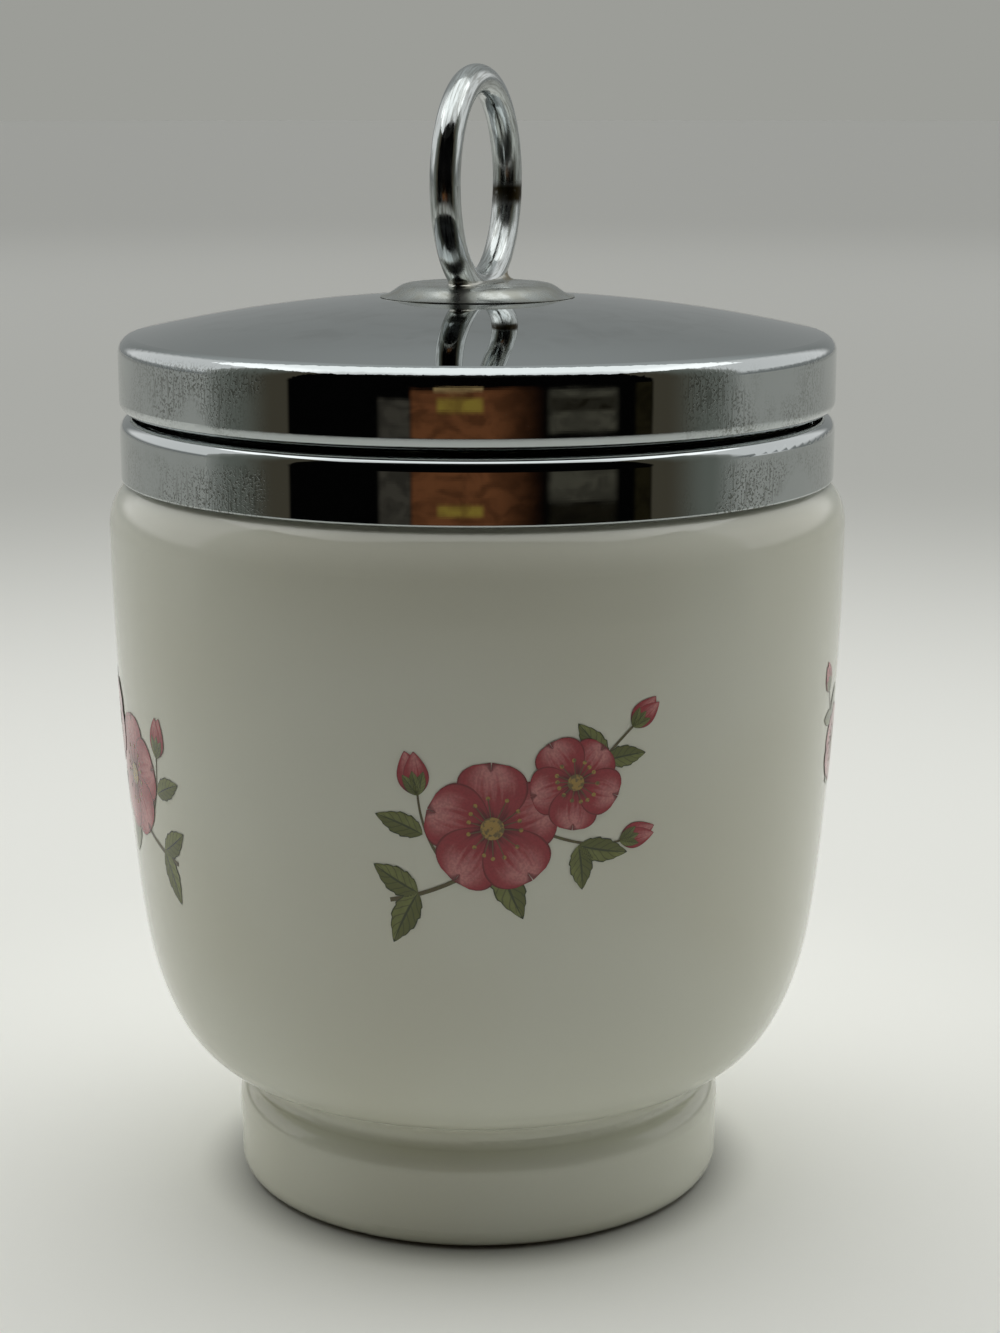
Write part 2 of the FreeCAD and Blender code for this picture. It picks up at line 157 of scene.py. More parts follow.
PETAL_DEEP = "#5E171B"
PETAL_MIDDLE = "#9E3139"
PETAL_PALE = "#CC8886"
LEAF_GREEN = "#5E632D"
LEAF_LIGHT = "#7F8549"
LEAF_EDGE = "#30381F"
STEM_BROWN = "#5B5237"
EYE_OCHRE = "#A98A45"
FILM_LIFT = 0.03
LAYER_LIFT = 0.006
LEAF_LAYER, BUD_LAYER = 1, 2
PETALS, STAMENS = 5, 14
PETAL_WIDEST = 0.62
PETAL, LEAF, STEM, EYE = range(4)

# The cup's outside, read from its mesh, as a smooth radius by height in millimetres. A spray's
# width is laid out on the girth radius.
WALL_FOOT, WALL_TOP, WALL_INNERMOST = 20.7, 67.3, 31
WALL_MIDDLE, WALL_HALF, WALL_DEGREE = 44.0, 24.0, 9
GIRTH_RADIUS = 35.6
cup_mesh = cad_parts["porcelain_cup"].data
spots = np.array([v.co for v in cup_mesh.vertices]) / MM
facing = np.array([v.normal for v in cup_mesh.vertices])
out, up = np.hypot(spots[:, 0], spots[:, 1]), spots[:, 2]
outward = (facing[:, 0] * spots[:, 0] + facing[:, 1] * spots[:, 1]) / out
wall = (outward > 0.5) & (up > WALL_FOOT) & (up < WALL_TOP) & (out > WALL_INNERMOST)
wall_curve = np.polyfit((up[wall] - WALL_MIDDLE) / WALL_HALF, out[wall], WALL_DEGREE)
wall_slope = np.polyder(wall_curve)


def on_cup(around, up, lift):
    """The point this far round the cup and this high up it, raised off the glaze, in metres."""
    k = (up - WALL_MIDDLE) / WALL_HALF
    radius = np.polyval(wall_curve, k)
    lean = np.polyval(wall_slope, k) / WALL_HALF
    n = 1 / math.hypot(1, lean)
    angle = around / GIRTH_RADIUS
    r = radius + lift * n
    return (r * math.sin(angle) * MM, -r * math.cos(angle) * MM, (up - lift * lean * n) * MM)


class Film:
    """One printed spray: a mesh gathered motif by motif, in millimetres on the cup's girth."""

    def __init__(self, azimuth, up, mirror):
        self.around = math.radians(azimuth) * GIRTH_RADIUS
        self.up, self.mirror = up, mirror
        self.points, self.faces, self.marks, self.inks = [], [], [], []

    def put(self, rows, marks, ink, layer):
        """A grid of points, each with its mark across and along the motif."""
        base, wide = len(self.points), len(rows[0])
        lift = FILM_LIFT + layer * LAYER_LIFT
        for row in rows:
            for x, y in row:
                self.points.append(on_cup(self.around + x * self.mirror, self.up + y, lift))
        for i in range(len(rows) - 1):
            for j in range(wide - 1):
                corners = [(i, j), (i, j + 1), (i + 1, j + 1), (i + 1, j)]
                if self.mirror < 0:
                    corners.reverse()
                self.faces.append([base + a * wide + b for a, b in corners])
                self.marks.extend(marks[a][b] for a, b in corners)
                self.inks.append(ink)

    def blade(self, root, heading, length, outline, ink, layer, bend=0.0, notch=0.0,
              long=22, wide=12):
        """A petal or leaf from its root: outline gives its half width along it, and notch dents
        its tip over the middle quarter."""
        a = math.radians(heading)
        rows, marks = [], []
        for i in range(long + 1):
            t = i / long
            row, mark = [], []
            for j in range(wide + 1):
                s = 2 * j / wide - 1
                reach = t * length * (1 - notch * math.exp(-(s / 0.28) ** 2) * t ** 2)
                side = s * outline(t) - bend * length * (t * t)
                row.append((root[0] + reach * math.cos(a) + side * math.sin(a),
                            root[1] + reach * math.sin(a) - side * math.cos(a)))
                mark.append(((s + 1) / 2, t))
            rows.append(row)
            marks.append(mark)
        self.put(rows, marks, ink, layer)

    def stroke(self, path, start_width, end_width, layer=0, steps=20):
        """A brush line along a smooth path of control points."""
        rows, marks = [], []
        for i in range(steps + 1):
            t = i / steps
            (x, y), (dx, dy) = smooth_point(path, t)
            n = math.hypot(dx, dy) or 1
            half = (start_width + (end_width - start_width) * t) / 2
            rows.append([(x + k * half * dy / n, y - k * half * dx / n) for k in (1, 0, -1)])
            marks.append([(0, t), (0.5, t), (1, t)])
        self.put(rows, marks, STEM, layer)

    def dot(self, middle, radius, layer, wide):
        """A round dab of ochre."""
        rings = [0.0, 0.6, 1.0]
        turns = [j * math.tau / wide for j in range(wide + 1)]
        rows = [[(middle[0] + radius * k * math.cos(a), middle[1] + radius * k * math.sin(a))
                 for a in turns] for k in rings]
        self.put(rows, [[(0.5, k)] * len(turns) for k in rings], EYE, layer)

    def fire(self, name):
        """Makes the spray's mesh and lets it ride on the cup."""
        mesh = bpy.data.meshes.new(name)
        mesh.from_pydata(self.points, [], self.faces)
        marks = mesh.uv_layers.new(name="UVMap")
        marks.data.foreach_set("uv", np.array(self.marks, np.float32).ravel())
        for material in (petal_enamel, leaf_enamel, stem_enamel, eye_enamel):
            mesh.materials.append(material)
        mesh.polygons.foreach_set("material_index", self.inks)
        mesh.polygons.foreach_set("use_smooth", [True] * len(self.faces))
        mesh.update()
        piece = bpy.data.objects.new(name, mesh)
        bpy.context.scene.collection.objects.link(piece)
        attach(piece, "cup")


def smooth_point(path, t):
    """A point and direction on the Bezier curve of these control points."""
    points = [Vector(p) for p in path]
    while len(points) > 2:
        points = [a.lerp(b, t) for a, b in zip(points, points[1:])]
    return tuple(points[0].lerp(points[1], t)), tuple(points[1] - points[0])


def motif_marks(tree):
    """The place on the cup, and the marks across, along and off the middle of a motif."""
    coordinates = add(tree, "TexCoord")
    mark = add(tree, "SeparateXYZ", [coordinates.outputs["UV"]])
    aside = add(tree, "Math", [mark.outputs["X"], 0.5], operation="SUBTRACT")
    off_middle = add(tree, "Math", [aside], operation="ABSOLUTE")
    return coordinates.outputs["Object"], mark.outputs["X"], mark.outputs["Y"], off_middle


ENAMEL_RIPPLE_WIDTH, ENAMEL_RIPPLE_DEPTH = 0.5, 0.003
STIPPLE_WIDTH, LEAF_CLOUD_WIDTH, DRY_BRUSH_WIDTH, EYE_GRAIN = 0.22, 0.8, 0.4, 0.35

# Veins and ribs are counted over a whole petal or leaf. On a petal 6 mm wide the veins lie about
# 0.5 mm apart, and on a leaf 5 mm long the ribs lie 0.8 mm apart.
VEINS_ACROSS, VEINS_ALONG, VEIN_STRAY = 13.0, 1.6, 0.9
RIBS_ALONG, RIB_SLANT = 6.0, 3.2

# Overglaze enamel for petals: rose red rubbed thin towards the tip, with fine veins and a darker
# drawn edge. It gives the soft shading of a lithographed transfer. The printed stipple has dots of
# about 0.1 mm; they are drawn at 0.22 mm, so that they show.
petal_enamel, tree, shader = finish_of("rose_overglaze_enamel", IOR=1.5, Roughness=0.12)
place, across, along, off_middle = motif_marks(tree)
vein_across = add(tree, "Math", [across, VEINS_ACROSS], operation="MULTIPLY")
vein_along = add(tree, "Math", [along, VEINS_ALONG], operation="MULTIPLY")
vein_place = add(tree, "CombineXYZ", [vein_across, vein_along])
veins = add(tree, "TexNoise", {"Vector": vein_place, "Scale": 1.0, "Detail": 3.0})
centred = add(tree, "Math", [veins, 0.5], operation="SUBTRACT")
strayed = add(tree, "Math", [centred, VEIN_STRAY], operation="MULTIPLY")
wash = add(tree, "Math", [along, strayed], operation="ADD")
towards_tip = add(tree, "MapRange", [wash, 0.42, 0.85, 0, 0.85], **SMOOTH)
inside = add(tree, "MapRange", [off_middle, 0.44, 0.12, 0, 1], **SMOOTH)
pale = add(tree, "Math", [towards_tip, inside], operation="MULTIPLY")
rubbed = add(tree, "Mix", {0: pale, 6: srgb(PETAL_MIDDLE), 7: srgb(PETAL_PALE)}, **COLOURS)
throat = add(tree, "MapRange", [wash, 0.42, 0.05, 0, 1], **SMOOTH)
side_line = add(tree, "MapRange", [off_middle, 0.455, 0.485, 0, 0.8], **SMOOTH)
tip_line = add(tree, "MapRange", [along, 0.95, 0.985, 0, 0.8], **SMOOTH)
drawn_edge = add(tree, "Math", [side_line, tip_line], operation="MAXIMUM")
dots = add(tree, "TexNoise", {"Vector": place, "Scale": grain(STIPPLE_WIDTH), "Detail": 0})
stipple = add(tree, "MapRange", [dots, 0.35, 0.65, 0, 0.22], **SMOOTH)
printed = add(tree, "Math", [drawn_edge, stipple], operation="MAXIMUM")
deep = add(tree, "Math", [throat, printed], operation="MAXIMUM")
colour = add(tree, "Mix", {0: deep, 6: rubbed, 7: srgb(PETAL_DEEP)}, **COLOURS)
wave = add(tree, "TexNoise", {"Vector": place, "Scale": grain(ENAMEL_RIPPLE_WIDTH)})
ripple = add(tree, "Bump", {"Height": wave, "Distance": ENAMEL_RIPPLE_DEPTH * MM})
feed(shader, {"Base Color": colour, "Normal": ripple})

# Overglaze enamel for leaves: olive green with a dark midrib, side ribs and outline. It gives a
# leaf that is lighter on one side of its midrib.
leaf_enamel, tree, shader = finish_of("olive_overglaze_enamel", IOR=1.5, Roughness=0.12)
place, across, along, off_middle = motif_marks(tree)
midrib = add(tree, "MapRange", [off_middle, 0.025, 0.06, 0.9, 0], **SMOOTH)
rib_count = add(tree, "Math", [along, RIBS_ALONG], operation="MULTIPLY")
rib_lean = add(tree, "Math", [off_middle, RIB_SLANT], operation="MULTIPLY")
slant = add(tree, "Math", [rib_count, rib_lean], operation="SUBTRACT")
between_ribs = add(tree, "Math", [slant], operation="FRACT")
off_rib = add(tree, "Math", [between_ribs, 0.5], operation="SUBTRACT")
off_rib = add(tree, "Math", [off_rib], operation="ABSOLUTE")
side_ribs = add(tree, "MapRange", [off_rib, 0.05, 0.13, 0.55, 0], **SMOOTH)
side_line = add(tree, "MapRange", [off_middle, 0.43, 0.47, 0, 0.9], **SMOOTH)
tip_line = add(tree, "MapRange", [along, 0.93, 0.97, 0, 0.9], **SMOOTH)
outline = add(tree, "Math", [side_line, tip_line], operation="MAXIMUM")
ribs = add(tree, "Math", [midrib, side_ribs], operation="MAXIMUM")
drawn = add(tree, "Math", [outline, ribs], operation="MAXIMUM")
light_side = add(tree, "MapRange", [across, 0.35, 0.65, 0, 0.85], **SMOOTH)
cloud = add(tree, "TexNoise", {"Vector": place, "Scale": grain(LEAF_CLOUD_WIDTH)})
uneven = add(tree, "MapRange", [cloud, 0.3, 0.7, 0.5, 1], **SMOOTH)
light = add(tree, "Math", [light_side, uneven], operation="MULTIPLY")
two_sided = add(tree, "Mix", {0: light, 6: srgb(LEAF_GREEN), 7: srgb(LEAF_LIGHT)}, **COLOURS)
colour = add(tree, "Mix", {0: drawn, 6: two_sided, 7: srgb(LEAF_EDGE)}, **COLOURS)
wave = add(tree, "TexNoise", {"Vector": place, "Scale": grain(ENAMEL_RIPPLE_WIDTH)})
ripple = add(tree, "Bump", {"Height": wave, "Distance": ENAMEL_RIPPLE_DEPTH * MM})
feed(shader, {"Base Color": colour, "Normal": ripple})

# Overglaze enamel for stems: thin umber strokes, a little broken where the brush ran dry.
stem_enamel, tree, shader = finish_of("umber_overglaze_enamel", IOR=1.5, Roughness=0.14)
place = add(tree, "TexCoord").outputs["Object"]
brush = add(tree, "TexNoise", {"Vector": place, "Scale": grain(DRY_BRUSH_WIDTH)})
dry = add(tree, "MapRange", [brush, 0.45, 0.7, 0, 0.5], **SMOOTH)
colour = add(tree, "Mix", {0: dry, 6: srgb(STEM_BROWN), 7: srgb(LEAF_GREEN)}, **COLOURS)
feed(shader, {"Base Color": colour})

# Overglaze enamel for the flower's eye: ochre dabs with grains of umber, which give a rough heart.
eye_enamel, tree, shader = finish_of("ochre_overglaze_enamel", IOR=1.5, Roughness=0.12)
place = add(tree, "TexCoord").outputs["Object"]
pollen = add(tree, "TexNoise", {"Vector": place, "Scale": grain(EYE_GRAIN), "Detail": 1})
grains = add(tree, "MapRange", [pollen, 0.45, 0.6, 0, 0.8], **SMOOTH)
colour = add(tree, "Mix", {0: grains, 6: srgb(EYE_OCHRE), 7: srgb(STEM_BROWN)}, **COLOURS)
feed(shader, {"Base Color": colour})


def petal_outline(half_width):
    """A petal's half width along it: it swells to its widest place and rounds off at the tip."""
    def half(t):
        past_widest = max(0, t - PETAL_WIDEST) / (1 - PETAL_WIDEST)
        rise = math.sin(math.pi / 2 * min(1, t / PETAL_WIDEST)) ** 0.8
        fall = math.sqrt(max(0, 1 - past_widest ** 2.4))
        return half_width * max(0.03, rise * fall)
    return half


def leaf_outline(half_width, teeth=5):
    """A leaf's half width along it: pointed at both ends, with a saw edge."""
    def half(t):
        shape = math.sin(math.pi * t ** 0.8) ** 0.9 if 0 < t < 1 else 0
        return half_width * (shape * (1 + 0.16 * ((t * teeth) % 1 - 0.5)) + 0.01)
    return half


def blossom(film, middle, radius, turn, layer):
    """Five notched petals that overlap, an ochre eye and a crown of stamens."""
    for k in range(PETALS):
        film.blade(middle, turn + 360 / PETALS * k, radius * (0.96 + 0.05 * math.sin(3 * k + turn)),
                   petal_outline(radius * 0.5), PETAL, layer + 0.5 * k, bend=0.05, notch=0.13)
    for k in range(STAMENS):
        a = math.radians(turn + k * 360 / STAMENS + 7 * math.sin(5 * k))
        reach = radius * (0.4 + 0.06 * math.sin(7 * k))
        tip = (middle[0] + reach * math.cos(a), middle[1] + reach * math.sin(a))
        film.stroke([middle, tip], 0.09, 0.07, layer=layer + 3.5, steps=3)
        film.dot(tip, 0.2, layer + 4, wide=8)
    film.dot(middle, radius * 0.17, layer + 4.5, wide=16)


def bud(film, foot, heading, length):
    """A closed flower: two furled petals held in a green cup of sepals."""
    film.blade(foot, heading + 9, length, leaf_outline(length * 0.3, 1), PETAL, BUD_LAYER,
               bend=-0.06)
    film.blade(foot, heading - 9, length * 0.96, leaf_outline(length * 0.27, 1), PETAL,
               BUD_LAYER + 0.5, bend=0.06)
    for turn in (26, -24, 2):
        film.blade(foot, heading + turn, length * 0.55, leaf_outline(length * 0.12, 1), LEAF,
                   BUD_LAYER + 1, long=12, wide=6)


def leaf(film, foot, heading, length, half_width, bend):
    """One leaf with a saw edge."""
    film.blade(foot, heading, length, leaf_outline(half_width), LEAF, LEAF_LAYER, bend=bend)


def leaf_pair(film, foot, heading, length, spread=42):
    """Two leaves from one foot, the second a little smaller."""
    leaf(film, foot, heading + spread, length, length * 0.24, 0.1)
    leaf(film, foot, heading - spread, length * 0.88, length * 0.23, -0.1)


def long_spray(name, azimuth, up, mirror=1):
    """A branch that climbs across the cup: two open blossoms, three buds and paired leaves."""
    film = Film(azimuth, up, mirror)
    film.stroke([(-11.5, -7.5), (-6, -6.5), (1, -3), (5, 3), (10.5, 8.2)], 0.42, 0.22, steps=40)
    film.stroke([(-5.5, -5.2), (-8.5, -2), (-8.8, 2.6)], 0.3, 0.2)
    film.stroke([(2.2, -1), (6.5, -3), (9.6, -2.4)], 0.3, 0.2)
    leaf_pair(film, (-8.9, -6.7), 196, 5.4)
    leaf(film, (-8.4, -1.2), 152, 4.6, 1.1, 0.1)
    leaf_pair(film, (5.6, -2.5), -48, 4.8, spread=30)
    leaf_pair(film, (7.9, 5.2), 66, 4.4, spread=54)
    leaf(film, (2.6, -0.8), 78, 6.4, 1.5, -0.08)
    leaf(film, (-1.6, -3.6), -74, 6.0, 1.45, 0.1)
    bud(film, (-8.8, 2.4), 100, 4.2)
    bud(film, (9.5, -2.4), 12, 3.6)
    bud(film, (10.4, 8.1), 44, 3.4)
    blossom(film, (-2.2, -0.6), 6.3, 16, layer=3)
    blossom(film, (5.2, 3.4), 4.5, 48, layer=9)
    film.fire(name)


def small_sprig(name, azimuth, up, mirror=1):
    """A loose sprig: one small blossom, a bud and four leaves."""
    film = Film(azimuth, up, mirror)
    film.stroke([(-3.4, -7.4), (-1.6, -3), (0.4, 0), (3.6, 5.6)], 0.34, 0.2, steps=28)
    leaf_pair(film, (-1.9, -3.8), 62, 4.2, spread=60)
    leaf_pair(film, (1.6, 2.4), 62, 3.6, spread=50)
    bud(film, (3.5, 5.4), 62, 3.4)
    blossom(film, (-0.4, -0.6), 4.0, 30, layer=3)
    film.fire(name)


long_spray("floral_spray_front", 6, 45.8)
long_spray("floral_spray_right", 134, 46.8)
long_spray("floral_spray_left", -72, 45.0, mirror=-1)
small_sprig("floral_sprig_right", 77, 46.8, mirror=-1)
small_sprig("floral_sprig_back", -160, 45.8)


# ---------------------------------------------------------------------------------------------
# Potting cement. A grey-white putty of plaster and litharge, pressed in between the cup's neck
# and the collar and left to set. It is dry, pale and grainy, and hardly any of it shows.

CEMENT_DARK = "#8E8A80"
CEMENT_PALE = "#B5B0A4"
CEMENT_GRIT, CEMENT_RELIEF = 0.3, 0.05

# Set cement: a chalky grey with coarse grit, which takes all the shine off it.
cement, tree, shader = finish_of("plaster_potting_cement", IOR=1.5)
place = add(tree, "TexCoord").outputs["Object"]
grit = add(tree, "TexNoise", {
    "Vector": place, "Scale": grain(CEMENT_GRIT), "Detail": 4, "Roughness": 0.7})
colour = add(tree, "Mix", {0: grit, 6: srgb(CEMENT_DARK), 7: srgb(CEMENT_PALE)}, **COLOURS)
chalky = add(tree, "MapRange", [grit, 0.3, 0.7, 0.8, 0.95], **SMOOTH)
crumbs = add(tree, "Bump", {"Height": grit, "Distance": CEMENT_RELIEF * MM})
feed(shader, {"Base Color": colour, "Roughness": chalky, "Normal": crumbs})
dress("collar_cement", cement)


# ---------------------------------------------------------------------------------------------
# Screw collar. Brass sheet, drawn and rolled with its thread, buffed and plated with nickel and
# bright chrome, then cemented round the cup's neck.

CHROME_CLEAN = "#B1B6B6"
CHROME_DULLED = "#64665F"
BAND_RADIUS = 35
COLLAR_SHOULDER = 77.0


def distance(tree, a, b):
    """How far a point lies from the middle, from its two distances square to each other."""
    a_square = add(tree, "Math", [a, 2.0], operation="POWER")
    b_square = add(tree, "Math", [b, 2.0], operation="POWER")
    both = add(tree, "Math", [a_square, b_square], operation="ADD")
    return add(tree, "Math", [both], operation="SQRT")


def chrome_plate(name, shoulder):
    """Bright chrome on buffed brass: a blue-grey mirror with hairlines round the axis. Under the
    shoulder, a height in millimetres, it has pits and dried drops."""
    material, tree, shader = finish_of(name, Metallic=1.0)
    place = add(tree, "TexCoord").outputs["Object"]
    apart = add(tree, "SeparateXYZ", [place])
    x, y, z = (apart.outputs[axis] for axis in "XYZ")
    radius = distance(tree, x, y)
    angle = add(tree, "Math", [y, x], operation="ARCTAN2")

    # Buffing hairlines are about 0.02 mm apart; they are drawn at 0.09 mm, so that they show. They
    # run on for about 11 mm round the skirt.
    hairline, hairlines_round, hairline_depth = 0.09, 3.2, 0.0001
    round_axis = add(tree, "Math", [angle, hairlines_round], operation="MULTIPLY")
    outwards = add(tree, "Math", [radius, grain(hairline)], operation="MULTIPLY")
    upwards = add(tree, "Math", [z, grain(hairline)], operation="MULTIPLY")
    turned = add(tree, "CombineXYZ", [round_axis, outwards, upwards])
    hairlines = add(tree, "TexNoise", {"Vector": turned, "Scale": 1.0, "Detail": 2.0})

    # The flanks, which hands and water reach, right and left of the middle and below the shoulder.
    flank_from, flank_full, thins_from, thins_to, shoulder_edge = 17.5, 19.5, 26, 32, 1.6
    sideways = add(tree, "Math", [x], operation="ABSOLUTE")
    starts = add(tree, "MapRange", [sideways, flank_from * MM, flank_full * MM, 0, 1], **SMOOTH)
    thins = add(tree, "MapRange", [sideways, thins_from * MM, thins_to * MM, 1, 0.5], **SMOOTH)
    below = add(tree, "MapRange", [
        z, (shoulder - shoulder_edge) * MM, shoulder * MM, 1, 0], **SMOOTH)
    flank = add(tree, "Math", [starts, thins], operation="MULTIPLY")
    flank = add(tree, "Math", [flank, below], operation="MULTIPLY")

    # Pits of 0.2 to 0.4 mm, and dried runs 0.3 mm wide and 3 mm tall.
    patch_size, pit_size, run_width, run_height, drop_depth = 9, 0.24, 0.3, 3, 0.006
    cloud = add(tree, "TexNoise", {"Vector": place, "Scale": grain(patch_size), "Detail": 2})
    patches = add(tree, "MapRange", [cloud, 0.37, 0.56, 0, 1], **SMOOTH)
    pocks = add(tree, "TexNoise", {
        "Vector": place, "Scale": grain(pit_size), "Detail": 1, "Roughness": 0.6})
    pits = add(tree, "MapRange", [pocks, 0.5, 0.62, 0, 1], **SMOOTH)
    run_round = add(tree, "Math", [angle, BAND_RADIUS / run_width], operation="MULTIPLY")
    run_up = add(tree, "Math", [z, grain(run_height)], operation="MULTIPLY")
    run_place = add(tree, "CombineXYZ", {"X": run_round, "Z": run_up})
    streaks = add(tree, "TexNoise", {"Vector": run_place, "Scale": 1.0, "Detail": 1.0})
    runs = add(tree, "MapRange", [streaks, 0.5, 0.68, 0, 0.6], **SMOOTH)
    marks = add(tree, "Math", [pits, runs], operation="MAXIMUM")
    where = add(tree, "Math", [flank, patches], operation="MULTIPLY")
    drops = add(tree, "Math", [marks, where], operation="MULTIPLY")

    # Wiped smears stay on the top, where nothing rubs them off.
    smear_size, top_from, top_full = 4, 1, 2
    film = add(tree, "TexNoise", {
        "Vector": place, "Scale": grain(smear_size), "Detail": 3, "Distortion": 0.6})
    smear = add(tree, "MapRange", [film, 0.4, 0.75, 0, 1], **SMOOTH)
    on_top = add(tree, "MapRange", [
        z, (shoulder + top_from) * MM, (shoulder + top_full) * MM, 0, 0.2], **SMOOTH)
    wiped = add(tree, "Math", [smear, on_top], operation="MULTIPLY")

    clean, dulled = srgb(CHROME_CLEAN), srgb(CHROME_DULLED)
    polished = add(tree, "Mix", {0: wiped, 6: clean, 7: dulled}, **COLOURS)
    drop_tint = add(tree, "Math", [drops, 0.8], operation="MULTIPLY")
    colour = add(tree, "Mix", {0: drop_tint, 6: polished, 7: dulled}, **COLOURS)
    line_haze = add(tree, "MapRange", [hairlines, 0.3, 0.7, 0.004, 0.014], **SMOOTH)
    smear_haze = add(tree, "Math", [smear, 0.03], operation="MULTIPLY")
    haze = add(tree, "Math", [line_haze, smear_haze], operation="ADD")
    drop_haze = add(tree, "Math", [drops, 0.2], operation="MULTIPLY")
    roughness = add(tree, "Math", [haze, drop_haze], operation="ADD")
    buffed = add(tree, "Bump", {"Height": hairlines, "Distance": hairline_depth * MM})
    pitted = add(tree, "Bump", {
        "Height": drops, "Distance": drop_depth * MM, "Normal": buffed})
    feed(shader, {"Base Color": colour, "Roughness": roughness, "Normal": pitted})
    return material


dress("threaded_collar", chrome_plate("chrome_plated_brass_collar", COLLAR_SHOULDER))


# ---------------------------------------------------------------------------------------------
# Lid shell. One pressing of brass sheet, domed on top and turned down to a straight skirt,
# spun over a form, buffed on a lathe and chrome plated as the collar is.

LID_SHOULDER = 85.4
dress("lid_shell", chrome_plate("chrome_plated_brass_lid", LID_SHOULDER))


# ---------------------------------------------------------------------------------------------
# Threaded liner. A second pressing with the thread rolled into it, pushed up into the shell.
# It is only nickel plated, so it is warmer and duller than the outside, with rolling marks.

NICKEL_WARM = "#B9B3A3"
NICKEL_DULL = "#9A9383"
ROLLING_MARK, ROLLING_DEPTH, ROLLINGS_ROUND, DULL_PATCH = 0.15, 0.002, 5.0, 5

# Satin nickel: a warm soft sheen, streaked round the wall. The rolling marks are a few hundredths
# of a millimetre apart; they are drawn at 0.15 mm, so that they show.
nickel_liner, tree, shader = finish_of("satin_nickel_plated_brass", Metallic=1.0)
place = add(tree, "TexCoord").outputs["Object"]
apart = add(tree, "SeparateXYZ", [place])
x, y, z = (apart.outputs[axis] for axis in "XYZ")
angle = add(tree, "Math", [y, x], operation="ARCTAN2")
round_wall = add(tree, "Math", [angle, ROLLINGS_ROUND], operation="MULTIPLY")
up_wall = add(tree, "Math", [z, grain(ROLLING_MARK)], operation="MULTIPLY")
rolled = add(tree, "CombineXYZ", {"X": round_wall, "Z": up_wall})
rolling = add(tree, "TexNoise", {"Vector": rolled, "Scale": 1.0, "Detail": 3.0})
cloud = add(tree, "TexNoise", {"Vector": place, "Scale": grain(DULL_PATCH), "Detail": 3})
dull = add(tree, "MapRange", [cloud, 0.35, 0.7, 0, 1], **SMOOTH)
colour = add(tree, "Mix", {0: dull, 6: srgb(NICKEL_WARM), 7: srgb(NICKEL_DULL)}, **COLOURS)
satin = add(tree, "MapRange", [rolling, 0.3, 0.7, 0.18, 0.3], **SMOOTH)
dull_haze = add(tree, "Math", [dull, 0.1], operation="MULTIPLY")
roughness = add(tree, "Math", [satin, dull_haze], operation="ADD")
ridges = add(tree, "Bump", {"Height": rolling, "Distance": ROLLING_DEPTH * MM})
feed(shader, {"Base Color": colour, "Roughness": roughness, "Normal": ridges})
dress("lid_thread_ring", nickel_liner)


# ---------------------------------------------------------------------------------------------
# Finial disc. A small turned boss that seats the ring, its edge swept out to the dome, and chrome
# plated. Fingers rub it each time that the lid is turned, so its mirror has gone silky.

DISC_CLEAN = "#B1B4B0"
DISC_RUBBED = "#999A92"
RUB_WIDTH, SCRATCH_WIDTH, SCRATCH_DEPTH = 1.6, 0.25, 0.003

# Rubbed chrome: fine wear blurs the mirror to a silky grey in patches. Its scratches are a few
# hundredths of a millimetre wide; they are drawn at 0.25 mm, so that they show.
rubbed_chrome, tree, shader = finish_of("rubbed_chrome_plate", Metallic=1.0)
place = add(tree, "TexCoord").outputs["Object"]
cloud = add(tree, "TexNoise", {"Vector": place, "Scale": grain(RUB_WIDTH), "Detail": 4})
rub = add(tree, "MapRange", [cloud, 0.35, 0.7, 0, 1], **SMOOTH)
colour = add(tree, "Mix", {0: rub, 6: srgb(DISC_CLEAN), 7: srgb(DISC_RUBBED)}, **COLOURS)
silky = add(tree, "MapRange", [rub, 0, 1, 0.24, 0.36], **SMOOTH)
scratches = add(tree, "TexNoise", {"Vector": place, "Scale": grain(SCRATCH_WIDTH), "Detail": 2})
worn = add(tree, "Bump", {"Height": scratches, "Distance": SCRATCH_DEPTH * MM})
feed(shader, {"Base Color": colour, "Roughness": silky, "Normal": worn})
dress("finial_disc", rubbed_chrome)


# ---------------------------------------------------------------------------------------------
# Lifting ring. Brass wire of about 3 mm, bent to a circle, butted and brazed on to the disc,
# and plated together with it. The braze keeps a brown stain where the plating is thin.

RING_RADIUS, WIRE_RADIUS, RING_TURN = 9.82, 1.46, 17.4
WIRE_BRIGHT = "#BABFBE"
WIRE_LINE = "#7E807B"
POLISH_BROWN = "#2A2311"
DRAW_LINE, DRAW_LINE_LENGTH, DRAW_LINE_DRIFT, DRAW_LINE_DEPTH = 0.2, 2.5, 0.6, 0.006
WIRE_RUB, WEAR_FROM, WEAR_FULL = 2.2, 4.5, 8
SMUDGE_GRAIN, SMUDGE_FROM, SMUDGE_FULL = 1.2, 7.4, 8.4
SMUDGE_DROP, SMUDGE_CORE, SMUDGE_REACH = 1.3, 0.5, 1.5
SMUDGE_IN, SMUDGE_OUT = RING_RADIUS + 0.1, RING_RADIUS + 0.9
disc_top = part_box("finial_disc")[1].z / MM
ring_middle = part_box("lift_ring")[1].z / MM - RING_RADIUS - WIRE_RADIUS

